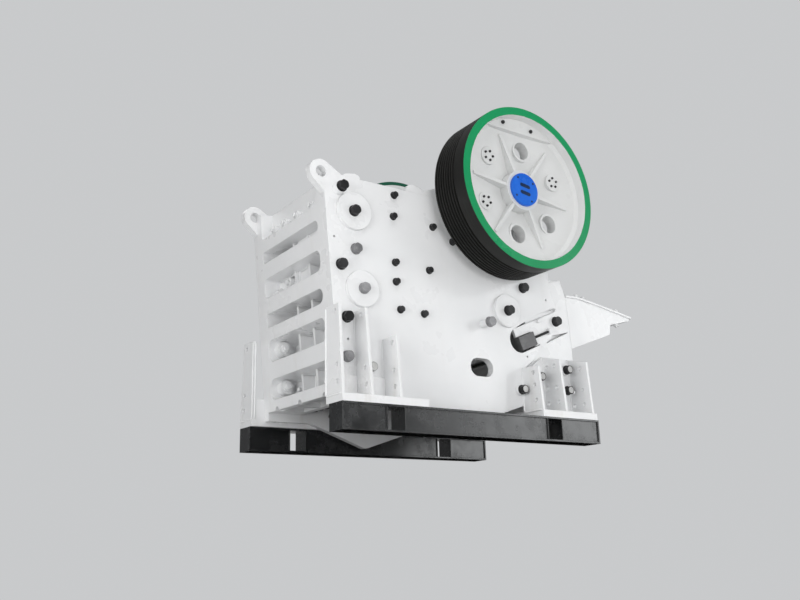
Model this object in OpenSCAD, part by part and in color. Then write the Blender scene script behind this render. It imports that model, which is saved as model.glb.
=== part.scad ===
// Jaw crusher on a pair of skids: bolted frame of two side plates and two castings,
// swing jaw on an eccentric shaft, toggle plate with adjusting wedges, grooved pulley and flywheel.
// X runs from the front frame to the rear, the pulley is on the -Y side, Z is up.
// Each module measures X from the foot of the frame's front face and is then moved by front_x.

/* [Frame] */
// Width over the outer faces of the side plates
frame_w = 1300; // [1200:10:1400]
// Thickness of a side plate
side_t = 70; // [50:5:80]
// Height of the side plates' top edge above the floor
top_z = 2115; // [2100:5:2130]
// How far the front face leans forward at the top corner
lean = 138; // [100:2:160]
// Height of the front top corner below the lifting eye
front_top_z = 1943; // [1920:1:1960]
// Height of the front face's lower edge
front_low_z = 320; // [300:5:340]

/* [Lifting eyes] */
// Outer radius of a lifting eye
lug_r = 105; // [95:1:110]
// Radius of the hole in a lifting eye
eye_r = 48; // [40:1:55]
// How far an eye's centre lies ahead of the front face's foot
eye_x = 167; // [160:1:175]
// Height of an eye's centre
eye_z = 2110; // [2100:1:2120]

/* [Front casting] */
// Depth from the front face's foot to the jaw plate's seat
casting_back = 320; // [310:5:330]
// Thickness of the wall behind the front pockets
back_wall_t = 110; // [80:5:120]
// Width of the front pockets
pocket_w = 1000; // [900:10:1020]
// Radius of the pockets' corners on the pulley's side
pocket_r = 62; // [30:1:70]
// Thickness of the upright ribs in the pockets
rib_t = 28; // [20:1:40]
// Distance of each upright rib from the middle
rib_y = 125; // [100:5:160]
// How far the ribs' front edges lie behind the front face
rib_set_back = 110; // [60:5:140]
// How far the dowel bosses stand out of the side plates
boss_proud = 30; // [15:1:45]

/* [Jaws] */
// Thickness of a jaw plate
jaw_t = 100; // [80:5:110]
// Depth of the jaw plates' ridges
ridge_d = 32; // [20:1:40]
// Number of ridges across a jaw plate
ridges = 10; // [8:1:14]
// Opening between the jaw plates at the top
feed_gap = 700; // [660:5:740]
// Opening between the jaw plates at the bottom
closed_gap = 110; // [90:5:130]
// Thickness of the cheek plates
cheek_t = 35; // [25:1:40]
// Radius of the swing jaw's barrel
barrel_r = 330; // [300:5:350]

/* [Shaft and wheels] */
// How far the shaft's axis lies behind the front face's foot
shaft_x = 1637; // [1630:1:1650]
// Height of the shaft's axis
shaft_z = 2174; // [2165:1:2185]
// Radius of the shaft in its bearings
journal_r = 110; // [90:1:120]
// Radius of the shaft inside the swing jaw
crank_r = 135; // [125:1:145]
// Offset of the shaft's middle part from its axis
throw = 15; // [10:1:20]
// Radius of the pulley and of the flywheel
wheel_r = 745; // [700:5:760]
// Width of the wheels' rims
wheel_w = 403; // [360:1:420]
// Gap between a side plate and the rim beside it
wheel_gap = 120; // [110:1:140]
// Thickness of the wheels' rims
rim_t = 75; // [60:1:90]
// Number of belt grooves in the pulley
grooves = 8; // [4:1:8]
// Distance from one belt groove to the next
groove_pitch = 33; // [28:1:34]
// Number of ribs on a wheel's web
web_ribs = 6; // [5:1:8]

/* [Skids] */
// Length of a skid
skid_l = 2676; // [2600:4:2760]
// Height of a skid
skid_h = 210; // [180:5:230]
// Width of a skid
skid_w = 194; // [180:2:220]
// Gap between a side plate and the skid beside it
skid_gap = 47; // [40:1:60]

/* [Hidden] */
$fn = 64;

paint = [0.93, 0.93, 0.92];
steel = [0.45, 0.46, 0.47];
black = [0.12, 0.12, 0.12];
green = [0.12, 0.55, 0.3];
blue = [0.12, 0.38, 0.8];

// The rear end of the motor base, from the foot of the front face.
rear_reach = 3445;
front_x = (eye_x + lug_r - rear_reach) / 2;
plate_y = frame_w / 2;
inner_y = plate_y - side_t;
fit = 0.3;
lap = 0.5;

// Frame outline heights and lengths.
foot_z = 250;
belly_x = 1000;
belly_z = 50;
belly_r = 90;
rear_x = 2284;
rear_top_z = 1760;
rear_edge_z = 1257;

// Slot for the adjusting wedges, in line with the toggle plate.
slot_angle = 23;
slot_x = 1879;
slot_z = 928;
slot_half = 117;
slot_len = 700;
// Upper edge of the slot in the side plates, which opens towards the rear.
slot_upper_edge = [[2102, 1197], [2330, 1283], [2460, 1257]];

// Small tapped holes in the side plates, as [x, z].
tapped_places = [[-49, 1572], [72, 742], [2238, 1350], [1958, 783]];
tapped_r = 10;
tapped_l = 45;

// Bosses that locate the side plates on the castings, as [x, z, radius].
front_bosses = [[133, 1817, 162], [204, 1165, 152]];
rear_bosses = [[1731, 1176, 150]];
boss_fit = 0.5;
// Inner seats of frame bolts as [x, z, radius].
inner_nuts = [[40, 1372, 45], [70, 870, 62], [95, 530, 62]];
inner_boss_l = 85;
wall_nut_y = 232;

bearing_r = 300;
bearing_in = inner_y - 40;
bearing_out = plate_y + 90;
bearing_foot_h = 62;
bearing_foot_front = 670;
bearing_foot_rear = 2130;

// Front pockets as [lowest height, highest height, corner radius at each end].
tight_r = 30;
wide_r = 75;
pockets = [
  [414, 596, tight_r, wide_r], [746, 940, pocket_r, wide_r], [1055, 1180, pocket_r, tight_r],
  [1323, 1497, pocket_r, tight_r], [1644, 1750, pocket_r, tight_r]
];
pocket_back = casting_back - back_wall_t;
// Open shelf under the casting's top rail.
shelf_z = 1870;
shelf_depth = 100;
shelf_r = 100;
rail_h = 15;
// Step in the fourth pocket's back wall, with a recess round a nut, and the nut's place in it.
step_pocket = 3;
step_x = 50;
recess_d = 30;
recess_w = 180;
recess_h = 120;
step_nut = [265, 1432];
deep_nut = [-232, 1410];
shelf_nut_y = [-305, -48, 174, 379];

jaw_low_z = 340;
jaw_high_z = 2060;
jaw_half_w = inner_y - cheek_t - 20;
swing_gap = 40;
swing_half_w = bearing_in - swing_gap;
swing_clear = 8;
// The swing jaw's working face runs from the bottom gap to the feed opening.
swing_low = [casting_back + jaw_t + closed_gap, 300];
swing_high = [casting_back + jaw_t + feed_gap, 2000];
swing_tilt = atan2(swing_high[0] - swing_low[0], swing_high[1] - swing_low[1]);
swing_len = norm(swing_high - swing_low);

toggle_front = [985, 545];
toggle_rear = [slot_x - 60 * cos(slot_angle), slot_z - 60 * sin(slot_angle)];
// Pieces in line with the toggle, measured along the slot from the toggle's rear end.
seat_t = 80;
wedge_l = 185;
wedge_end = seat_t + fit + wedge_l;
// The wedges' ends show in the side plates' slots, between these heights across the slot.
wedge_end_low = -101;
wedge_end_high = 25;
rod_len = 200;
rod_r = 12;
rod_y_out = plate_y - 30;
rod_low = -35;

skid_y = plate_y + skid_gap;
skid_x = -129;
foot_reach = skid_gap + skid_w;
// Upright gussets of the feet as [where it stands, its height, how far its top is drawn in,
// where its inner edge stands, how much higher it is there, how far its holes lie inside its edge].
on_plate = plate_y + fit;
// Side faces of the rear frame and the motor base, behind the side plates' rear edges.
cheek_face = 605;
on_cheek = cheek_face + fit;
front_gussets = [
  [-129, 755, 50, on_plate, 0, 60], [130, 758, 85, on_plate, 0, 60], [390, 558, 45, on_plate, 0, 60]
];
rear_gussets = [
  [1880, 447, 35, on_plate, 16, 66], [2155, 533, 50, on_cheek, 61, 70], [2480, 536, 38, on_cheek, 63, 82]
];
hole_heights = [153, 284];
hole_below_top = 50;
foot_hole_r = 20;
gusset_t = 26;
foot_base_t = 60;
foot_back_t = 30;
// Round pads under the nuts of the rear feet's back plates, as [x, z].
foot_pad_t = 25;
foot_pad_r = 50;
rear_foot_pads = [[2075, 603], [2424, 698], [2417, 505]];

function front_at(z) = -lean * (z - foot_z) / (front_top_z - foot_z);
function polar(c, r, a) = [c[0] + r * cos(a), c[1] + r * sin(a)];
function bearing_of(c, p) = atan2(p[1] - c[1], p[0] - c[0]);
// Where a line from p touches a circle, on the side given by sign. It ends a little
// inside the circle, so that the two outlines overlap and join.
function touch(c, r, p, sign) = polar(c, r - lap, bearing_of(c, p) + sign * acos((r - lap) / norm(p - c)));

// An XZ outline as a plate that starts at y_min.
module xz_plate(y_min, t) translate([0, y_min + t, 0]) rotate([90, 0, 0]) linear_extrude(t) children();
// A YZ outline as a plate that starts at x_min.
module yz_plate(x_min, t) translate([x_min, 0, 0]) rotate([90, 0, 90]) linear_extrude(t) children();
module rod_y(x, z, r, y_min, len) translate([x, y_min, z]) rotate([-90, 0, 0]) cylinder(h = len, r = r);
module machine() translate([front_x, 0, 0]) children();
// On the pulley's side as drawn, on the flywheel's side mirrored.
module on_side(pulley_side) {
  if (pulley_side) children();
  else mirror([0, 1, 0]) children();
}
// Along the slot from the toggle's rear end.
module in_slot_2d() translate(toggle_rear) rotate(slot_angle) children();
module in_slot() translate([toggle_rear[0], 0, toggle_rear[1]]) rotate([0, -slot_angle, 0]) children();
module both_sides() {
  children();
  mirror([0, 1, 0]) children();
}

// Outline of a side plate without the round ends of its lifting eye and belly.
module side_outline() {
  eye = [-eye_x, eye_z];
  corner = [front_at(front_top_z), front_top_z];
  shoulder = [30, top_z];
  belly = [belly_x, belly_z + belly_r];
  polygon([
    [0, foot_z], corner, touch(eye, lug_r, corner, -1), eye, touch(eye, lug_r, shoulder, 1), shoulder,
    // Pad on the top edge, beside the lifting eye.
    [60, top_z + 24], [148, top_z + 42], [188, top_z + 33], [206, top_z + 14], [200, top_z],
    [2150, top_z], [rear_x, rear_top_z], [rear_x + 4, 1520], [rear_x + 12, 1443], [2325, 1373],
    [2370, rear_edge_z], [2049, 768], [1907, 670], [1900, 340], touch(belly, belly_r, [1600, 185], -1),
    belly, touch(belly, belly_r, [420, foot_z], 1), [420, foot_z]
  ]);
}

// Stadium-shaped inspection hole beside the toggle plate.
module hand_hole() {
  hole_x = 1420;
  hole_z = 636;
  hole_r = 80;
  hole_l = 90;
  translate([hole_x - hole_l / 2, hole_z]) circle(r = hole_r);
  translate([hole_x + hole_l / 2, hole_z]) circle(r = hole_r);
  translate([hole_x - hole_l / 2, hole_z - hole_r]) square([hole_l, 2 * hole_r]);
}

// Slot for the wedges, round at its front end and open to the rear.
module wedge_slot() {
  translate([slot_x, slot_z]) rotate(slot_angle) {
    circle(r = slot_half);
    translate([0, -slot_half]) square([slot_len, 2 * slot_half]);
  }
  start = polar([slot_x, slot_z], slot_half - lap, slot_angle + 90);
  polygon(concat([start], slot_upper_edge, [[2460, 1000]]));
}

module side_plate(pulley_side) {
  cut = side_t + 2;
  y_cut = -plate_y - 1;
  color(paint) machine() on_side(pulley_side) difference() {
    union() {
      xz_plate(-plate_y, side_t) side_outline();
      rod_y(-eye_x, eye_z, lug_r, -plate_y, side_t);
      rod_y(belly_x, belly_z + belly_r, belly_r, -plate_y, side_t);
    }
    rod_y(-eye_x, eye_z, eye_r, y_cut, cut);
    rod_y(shaft_x, shaft_z, bearing_r + fit, y_cut, cut);
    xz_plate(y_cut, cut) wedge_slot();
    for (b = concat(front_bosses, rear_bosses)) rod_y(b[0], b[1], b[2] + boss_fit, y_cut, cut);
    for (t = tapped_places) rod_y(t[0], t[1], tapped_r, y_cut, tapped_l);
    xz_plate(y_cut, cut) hand_hole();
  }
}
module pulley_side_plate() side_plate(true);
module flywheel_side_plate() side_plate(false);

// A window in the YZ plane whose corners have one radius on each side.
module pocket_shape(low, high, near_r, far_r) {
  for (s = [[-1, near_r], [1, far_r]]) {
    r = min(s[1], (high - low) / 2 - 1);
    for (z = [low + r, high - r]) translate([s[0] * (pocket_w / 2 - r), z]) circle(r = r);
    translate([s[0] * pocket_w / 4 - pocket_w / 4, low + r]) square([pocket_w / 2, high - low - 2 * r]);
    translate([min(0, s[0] * (pocket_w / 2 - r)), low]) square([pocket_w / 2 - r, high - low]);
  }
}

// Everything that lies at least set_back behind the leaning front face.
module behind_face(set_back, half_w, low, high) {
  xz_plate(-half_w, 2 * half_w) polygon([
    [front_at(low) + set_back, low], [front_at(high) + set_back, high], [pocket_back + 1, high],
    [pocket_back + 1, low]
  ]);
}

module front_frame() {
  reach = 400;
  deep_half = pocket_w / 2 - rib_y;
  far_bay = pockets[4];
  stepped = pockets[step_pocket];
  seat_in = pocket_w / 2 + 2 - inner_boss_l;
  room_l = 45;
  bay_w = 250;
  lip_z = front_low_z;
  lip_notch_r = 32;
  color(paint) machine() difference() {
    union() {
      difference() {
        xz_plate(-inner_y, 2 * inner_y) polygon([
          [front_at(front_low_z), front_low_z], [front_at(top_z), top_z],
          [front_at(shelf_z) + shelf_depth, top_z + rail_h], [casting_back, top_z + rail_h],
          [casting_back, front_low_z]
        ]);
        for (p = pockets) yz_plate(-reach, reach + pocket_back) pocket_shape(p[0], p[1], p[2], p[3]);
        yz_plate(-reach, reach + front_at(shelf_z) + shelf_depth)
          pocket_shape(shelf_z, top_z + 2 * shelf_r, shelf_r, tight_r);
      }
      // Upright ribs, whose front edges lean with the face.
      for (p = pockets, s = [-1, 1]) translate([0, s * rib_y, 0])
        behind_face(rib_set_back, rib_t / 2, p[0] - 1, p[1] + 1);
      // The highest pocket is deep in its far bay alone.
      translate([0, -deep_half / 2 - rib_y / 2, 0])
        behind_face(rib_set_back + 15, pocket_w / 4 + rib_y / 2 + 5, far_bay[0] - 1, far_bay[1] + 1);
      // Step of the back wall in one pocket's middle and far bays.
      translate([step_x, -rib_y, stepped[0] - 1])
        cube([pocket_back + 1 - step_x, rib_y + pocket_w / 2 - 1, stepped[1] - stepped[0] + 2]);
      both_sides() for (b = front_bosses)
        rod_y(b[0], b[1], b[2], -plate_y - boss_proud, side_t + boss_proud + 1);
      // Seats of the frame bolts' nuts, at both ends of the pockets.
      both_sides() for (b = inner_nuts) rod_y(b[0], b[1], b[2], -pocket_w / 2 - 2, inner_boss_l);
    }
    // Recesses round the painted nuts in that pocket.
    for (n = [[step_x, step_nut], [pocket_back, deep_nut]])
      translate([n[0] - 1, n[1][0] - recess_w / 2, n[1][1] - recess_h / 2])
        cube([recess_d + 1, recess_w, recess_h]);
    // Room in the step for the nut at the pocket's end.
    rod_y(inner_nuts[0][0], inner_nuts[0][1], 32, seat_in - room_l, room_l);
    // Half-round notches in the lower lip, and hollows behind it.
    for (y = [-1, 0, 1]) {
      translate([front_at(lip_z) - 50, y * 410, lip_z]) rotate([0, 90, 0])
        cylinder(h = 120, r = lip_notch_r);
      translate([60, y * 290 - bay_w / 2, lip_z - 1]) cube([200, bay_w, 60]);
    }
  }
}

// Nut on its stud, seated on the casting's back wall at x and standing towards the front.
module wall_nut(x, y, z, af, h, stud) translate([x, y, z]) rotate([0, -90, 0]) {
  cylinder(h = h, r = af / sqrt(3), $fn = 6);
  cylinder(h = h + stud, r = af * 0.3);
}
module painted_wall_nuts() {
  shelf_wall = front_at(shelf_z) + shelf_depth;
  color(paint) machine() {
    for (y = shelf_nut_y) wall_nut(shelf_wall - fit, y, shelf_z + 76, 72, 46, 28);
    for (n = [[step_x, step_nut], [pocket_back, deep_nut]])
      wall_nut(n[0] + recess_d - fit, n[1][0], n[1][1], 84, 60, 26);
    for (s = [-1, 1]) wall_nut(pocket_back - fit, s * wall_nut_y, 480, 70, 70, 40);
    // Nuts of the frame bolts on their seats inside the pockets.
    both_sides() for (b = inner_nuts) {
      y = -pocket_w / 2 - 2 + inner_boss_l + fit;
      rod_y(b[0], b[1], b[2] - 22, y, 24);
      rod_y(b[0], b[1], b[2] - 36, y, 40);
    }
  }
}
module black_wall_nuts() {
  color(black) machine() for (y = [-195, 20, 285]) wall_nut(pocket_back - fit, y, 1118, 75, 80, 50);
}

// Corners that the rear frame and the motor base share.
rear_top = [2481, 1591];
base_top = [2540, 1428];
base_low = [2576, 927];
side_hollow = [[2250, 945], [2340, 1030], [2545, 1083]];

module rear_frame() {
  color(paint) machine() {
    difference() {
      xz_plate(-inner_y, 2 * inner_y) difference() {
        polygon([
          [1500, 985], [1500, 1160], [1700, 1420], [1860, 1530], rear_top, base_top, base_low,
          [2576, 290], [1925, 290], [1925, 790], [1850, 1050]
        ]);
        in_slot_2d() translate([-340, -slot_half - 15]) square([wedge_end + fit + 340, 2 * slot_half + 30]);
      }
      // Hollow in the casting's side, below the rods.
      both_sides() xz_plate(-inner_y - 1, 35) polygon(side_hollow);
      // Pockets open to the rear.
      for (s = [-1, 0, 1], z = [[370, 600], [670, 890]])
        translate([2380, s * 360 - 140, z[0]]) cube([400, 280, z[1] - z[0]]);
    }
    both_sides() for (b = rear_bosses)
      rod_y(b[0], b[1], b[2], -plate_y - boss_proud, side_t + boss_proud + 1);
    // Cheeks behind the side plates' rear edges, which also close their slots round the wedges.
    both_sides() xz_plate(-cheek_face, cheek_face - inner_y + 1) difference() {
      union() {
        polygon([
          [rear_x + 10, 1510], [2337, 1545], rear_top, base_top, base_low, [2576, 290], [1925, 290],
          [1925, 650], [2062, 758], [2160, 912], [2395, 1262], [2345, 1375], [rear_x + 20, 1445]
        ]);
        in_slot_2d() polygon([
          [70, wedge_end_high + 5], [70, slot_half - 4], [690, slot_half - 4], [690, 0],
          [430, 4 - slot_half], [wedge_end + fit, 4 - slot_half], [wedge_end + fit, wedge_end_high + 5]
        ]);
      }
      polygon(side_hollow);
    }
    // Blocks that hold the rods' ends, and small lugs above them.
    both_sides() in_slot() {
      translate([wedge_end + rod_len + fit, -rod_y_out - 22, rod_low - 24])
        cube([36, rod_y_out + 22 - cheek_face + 1, 48]);
      translate([385, -rod_y_out - 10, 76]) cube([50, rod_y_out + 10 - cheek_face + 1, 34]);
    }
  }
}

// Cross-section of a jaw plate: flat back at x = 0, ridges towards +X.
module ridge_profile(half_w, t) {
  pitch = 2 * half_w / ridges;
  polygon(concat(
    [[0, -half_w]],
    [for (i = [0:ridges - 1], k = [0:3])
      [k == 0 || k == 3 ? t - ridge_d : t, -half_w + pitch * (i + [0.08, 0.38, 0.62, 0.92][k])]],
    [[0, half_w]]
  ));
}

module fixed_jaw_plate() {
  color(steel) machine() translate([casting_back, 0, jaw_low_z])
    linear_extrude(jaw_high_z - jaw_low_z) ridge_profile(jaw_half_w, jaw_t);
}

module swing_jaw_plate() {
  color(steel) machine() translate([swing_low[0], 0, swing_low[1]]) rotate([0, swing_tilt, 0])
    mirror([1, 0, 0]) translate([-jaw_t, 0, 0]) linear_extrude(swing_len)
      ridge_profile(swing_half_w, jaw_t);
}

module swing_jaw() {
  bore_r = crank_r + throw + swing_clear;
  face_low = swing_low + (jaw_t + fit) * [cos(swing_tilt), -sin(swing_tilt)];
  face_high = swing_high + (jaw_t + fit) * [cos(swing_tilt), -sin(swing_tilt)];
  axis = [shaft_x, shaft_z];
  color(paint) machine() difference() {
    union() {
      rod_y(shaft_x, shaft_z, barrel_r, -swing_half_w, 2 * swing_half_w);
      xz_plate(-swing_half_w, 2 * swing_half_w) polygon([
        face_low, face_high, touch(axis, barrel_r, face_high, -1), axis, polar(axis, barrel_r - lap, -40),
        [1150, 900], toggle_front + [20, 140], toggle_front + [-10, -40], [toggle_front[0] - 80, 330]
      ]);
    }
    rod_y(shaft_x, shaft_z, bore_r, -swing_half_w - 1, 2 * swing_half_w + 2);
    rod_y(toggle_front[0], toggle_front[1], 46, -swing_half_w - 1, 2 * swing_half_w + 2);
    // Pockets between the ribs on the jaw's back.
    for (s = [-1, 0, 1]) translate([0, s * 320 - 120, 0]) rotate([90, 0, 0]) mirror([0, 0, 1])
      linear_extrude(240) polygon([[1080, 1000], [1240, 1700], [1900, 1800], [1900, 1000]]);
  }
}

module cheek(y_out, pts) xz_plate(y_out, cheek_t) polygon(pts);
module upper_cheek_plates() {
  color(steel) machine() both_sides()
    cheek(-inner_y, [[430, 1360], [430, 2100], [1090, 2100], [870, 1360]]);
}
module lower_cheek_plates() {
  color(steel) machine() both_sides()
    cheek(-inner_y, [[430, 620], [430, 1350], [865, 1350], [640, 620]]);
}

toggle_half_w = swing_half_w - 70;
module toggle_plate() {
  span = norm(toggle_rear - toggle_front);
  end_r = 40;
  color(paint) machine() translate([toggle_front[0], 0, toggle_front[1]])
    rotate([0, -bearing_of(toggle_front, toggle_rear), 0])
      xz_plate(-toggle_half_w, 2 * toggle_half_w) union() {
        circle(r = end_r);
        translate([span, 0]) circle(r = end_r);
        translate([0, -26]) square([span, 52]);
      }
}

module toggle_seats() {
  color(steel) machine() {
    translate([toggle_front[0], 0, toggle_front[1]])
      rotate([0, -slot_angle, 0]) xz_plate(-toggle_half_w, 2 * toggle_half_w) difference() {
        circle(r = 45);
        circle(r = 40 + fit);
        translate([0, -60]) square([60, 120]);
      }
    in_slot() xz_plate(-toggle_half_w, 2 * toggle_half_w) difference() {
      translate([0, -90]) square([seat_t, 180]);
      circle(r = 40 + fit);
    }
  }
}

module adjusting_wedges() {
  body_y = inner_y - 15;
  end_x = 66;
  color(black) machine() both_sides() in_slot() {
    translate([seat_t + fit, -body_y, -100]) cube([wedge_l, body_y - 20, 200]);
    translate([end_x, -plate_y + 10, wedge_end_low])
      cube([wedge_end - end_x, plate_y - 10 - body_y + 30, wedge_end_high - wedge_end_low]);
  }
}

module wedge_rods() {
  color(black) machine() both_sides() in_slot() translate([wedge_end + fit, -rod_y_out, rod_low])
    rotate([0, 90, 0]) cylinder(h = rod_len - fit, r = rod_r);
}

module tension_rod() {
  start = toggle_front[0] + 60;
  color(steel) machine() translate([start, 0, 380]) rotate([0, 90, 0])
    cylinder(h = 1925 - fit - start, r = 28);
}

module bearing_housing(pulley_side) {
  axis = [shaft_x, shaft_z];
  foot_low = top_z + fit;
  notch = [856, foot_low + 34];
  cover_r = 215;
  cover_t = 20;
  step_top = foot_low + bearing_foot_h;
  depth = bearing_out - bearing_in;
  color(paint) machine() on_side(pulley_side) difference() {
    union() {
      xz_plate(-bearing_out, depth) translate(axis) circle(r = bearing_r);
      rod_y(shaft_x, shaft_z, cover_r, -bearing_out - cover_t, cover_t + 1);
      xz_plate(-plate_y, side_t) difference() {
        polygon([
          [bearing_foot_front, foot_low], [bearing_foot_front + 4, foot_low + 32], [700, step_top],
          [743, step_top + 8], [798, step_top], notch, touch(axis, bearing_r, notch, -1),
          touch(axis, bearing_r, [2110, foot_low + 5], 1), [bearing_foot_rear - 20, step_top],
          [bearing_foot_rear, foot_low]
        ]);
        translate(axis) circle(r = bearing_r - 1);
      }
    }
    rod_y(shaft_x, shaft_z, journal_r + 0.05, -bearing_out - cover_t - 1, depth + cover_t + 2);
  }
}
module pulley_side_bearing_housing() bearing_housing(true);
module flywheel_side_bearing_housing() bearing_housing(false);

module motor_base() {
  web_t = 25;
  top_t = 18;
  top_over = 15;
  tip = [rear_reach - 20, 1300];
  step = [3143, 1228];
  front = base_top[0] + 1;
  // The top plate's underside, from the rear frame to the tip.
  under = [[front, base_top[1]], [2698, 1434], [2994, 1396], [rear_reach, 1322]];
  color(paint) machine() {
    // Side plates and two ribs under the top plate.
    for (y = [-cheek_face, -cheek_face / 3, cheek_face / 3 - web_t, cheek_face - web_t])
      xz_plate(y, web_t) polygon([
        under[0] + [0, 2], under[1] + [0, 2], under[2] + [0, 2], [tip[0], 1327], tip, step, [3122, 1126],
        base_low + [1, 0]
      ]);
    // Top plate, front flange and the short plate under the tip.
    xz_plate(-cheek_face - top_over, 2 * (cheek_face + top_over)) polygon(concat(
      under, [for (i = [3:-1:0]) under[i] + [0, top_t]]
    ));
    xz_plate(-cheek_face, 2 * cheek_face) polygon([
      under[0], under[0] + [web_t, 1], base_low + [1 + web_t, 12], base_low + [1, 0]
    ]);
    xz_plate(-cheek_face, 2 * cheek_face) polygon([tip, step, step + [0, web_t], tip + [0, web_t]]);
  }
}

// Foot with upright gussets on a base strip, and a back plate of the given outline at in_y.
module foot(pulley_side, gussets, in_y, back, strip_end, pads) {
  out_y = plate_y + foot_reach;
  low = skid_h + fit;
  first = gussets[0][0];
  color(paint) machine() on_side(pulley_side) {
    for (g = gussets) {
      heights = concat(hole_heights, [g[1] - hole_below_top]);
      difference() {
        yz_plate(g[0], gusset_t) polygon([
          [-g[3], low], [-out_y, low], [-out_y + g[2], skid_h + g[1]], [-g[3], skid_h + g[1] + g[4]]
        ]);
        for (h = heights) {
          hole_x(g[0], -out_y + g[5] + g[2] * h / g[1], skid_h + h, foot_hole_r);
          if (g[3] < plate_y) hole_x(g[0], -g[3] - foot_back_t - 42, skid_h + h, foot_hole_r);
        }
      }
    }
    translate([first, -out_y, low]) cube([strip_end - first, out_y - in_y, foot_base_t]);
    xz_plate(-in_y - foot_back_t, foot_back_t) polygon(back);
    for (p = pads) rod_y(p[0], p[1], foot_pad_r, -in_y - foot_back_t - foot_pad_t, foot_pad_t + 1);
  }
}
module hole_x(x, y, z, r) translate([x - 1, y, z]) rotate([0, 90, 0]) cylinder(h = gusset_t + 2, r = r);
module front_foot(pulley_side) foot(pulley_side, front_gussets, on_plate, [
  [-129, skid_h + fit], [416, skid_h + fit], [416, 450], [-129, 450]
], 660, []);
module rear_foot(pulley_side) foot(pulley_side, rear_gussets, on_cheek, [
  [1950, skid_h + fit], [2506, skid_h + fit], [2506, 790], [2140, 790], [1950, 655]
], 2535, rear_foot_pads);
module pulley_side_front_foot() front_foot(true);
module flywheel_side_front_foot() front_foot(false);
module pulley_side_rear_foot() rear_foot(true);
module flywheel_side_rear_foot() rear_foot(false);

module skid(pulley_side) {
  flange = 16;
  panel = 12;
  panels = [[14, 395], [563, 2047], [2221, skid_l - 14]];
  openings = [[401, 557], [2053, 2215]];
  color(black) machine() on_side(pulley_side) translate([skid_x, -skid_y - skid_w, 0]) difference() {
    cube([skid_l, skid_w, skid_h]);
    for (p = panels, y = [-1, skid_w - panel])
      translate([p[0], y, flange]) cube([p[1] - p[0], panel + 1, skid_h - 2 * flange]);
    for (o = openings) translate([o[0], -1, flange]) cube([o[1] - o[0], skid_w + 2, skid_h - 2 * flange]);
  }
}
module pulley_side_skid() skid(true);
module flywheel_side_skid() skid(false);

// Hexagon head on its washer, seated at y_seat and standing towards -Y.
module hex_bolt(x, z, y_seat, af, h, washer_r, washer_t) {
  rod_y(x, z, washer_r, y_seat - washer_t, washer_t);
  translate([x, y_seat - washer_t, z]) rotate([90, 0, 0]) cylinder(h = h, r = af / sqrt(3), $fn = 6);
}

// Black frame bolts as [x, z, how far the seat stands out of the side plate].
spacer_l = 64;
frame_bolt_places = [
  [-13, 1988, spacer_l], [121, 1811, boss_proud], [12, 1346, 0], [61, 919, 0], [1950, 1425, 0],
  [1731, 1176, boss_proud], [2385, 1168, cheek_face - plate_y]
];
module frame_bolts() {
  color(black) machine() both_sides() for (b = frame_bolt_places)
    hex_bolt(b[0], b[1], -plate_y - b[2] - fit, 78, 42, 48, 8);
}

// Grey nuts on stud ends, in the same form. The last stands on a long spacer.
long_spacer_l = 100;
foot_spacer_l = 38;
frame_nut_places = [
  [150, 1497, 0], [204, 1165, boss_proud], [61, 601, 0], [1446, 1022, long_spacer_l]
];
foot_spacer = [1830, 466];
module frame_nuts() {
  stud_r = 22;
  stud_top = 51;
  color(steel) machine() both_sides() for (b = frame_nut_places) {
    hex_bolt(b[0], b[1], -plate_y - b[2] - fit, 78, 38, 47, 9);
    rod_y(b[0], b[1], stud_r, -plate_y - b[2] - fit - stud_top, stud_top - 8);
  }
}
module bolt_spacers() {
  first = frame_bolt_places[0];
  long = frame_nut_places[3];
  color(paint) machine() both_sides() {
    rod_y(first[0], first[1], 52, -plate_y - spacer_l, spacer_l - fit);
    rod_y(long[0], long[1], 34, -plate_y - long_spacer_l, long_spacer_l - fit);
    rod_y(foot_spacer[0], foot_spacer[1], 44, -plate_y - foot_spacer_l, foot_spacer_l - fit);
  }
}

cheek_bolt_places = [
  [539, 2045], [525, 1850], [937, 1830], [535, 1444], [885, 1429], [539, 1277], [576, 1043], [816, 1036],
  [1150, 1732]
];
module cheek_bolts() {
  color(black) machine() both_sides() for (b = cheek_bolt_places)
    hex_bolt(b[0], b[1], -plate_y - fit, 50, 30, 33, 6);
}

// Nuts of the feet as [x, z, where the seat lies].
foot_pad_face = on_cheek + foot_back_t + foot_pad_t;
foot_bolt_places = concat(
  [[277, 534, plate_y + fit], [foot_spacer[0], foot_spacer[1], plate_y + foot_spacer_l]],
  [for (p = rear_foot_pads) [p[0], p[1], foot_pad_face]]
);
module foot_bolts() {
  color(steel) machine() both_sides() for (b = foot_bolt_places) {
    hex_bolt(b[0], b[1], -b[2] - fit, 70, 44, 43, 8);
    rod_y(b[0], b[1], 21, -b[2] - fit - 58, 50);
  }
}

module eccentric_shaft() {
  end_y = plate_y + wheel_gap + wheel_w - hub_in;
  color(steel) machine() {
    rod_y(shaft_x, shaft_z, journal_r, -end_y, 2 * end_y);
    rod_y(shaft_x, shaft_z + throw, crank_r, -swing_half_w + 20, 2 * swing_half_w - 40);
  }
}

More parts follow.
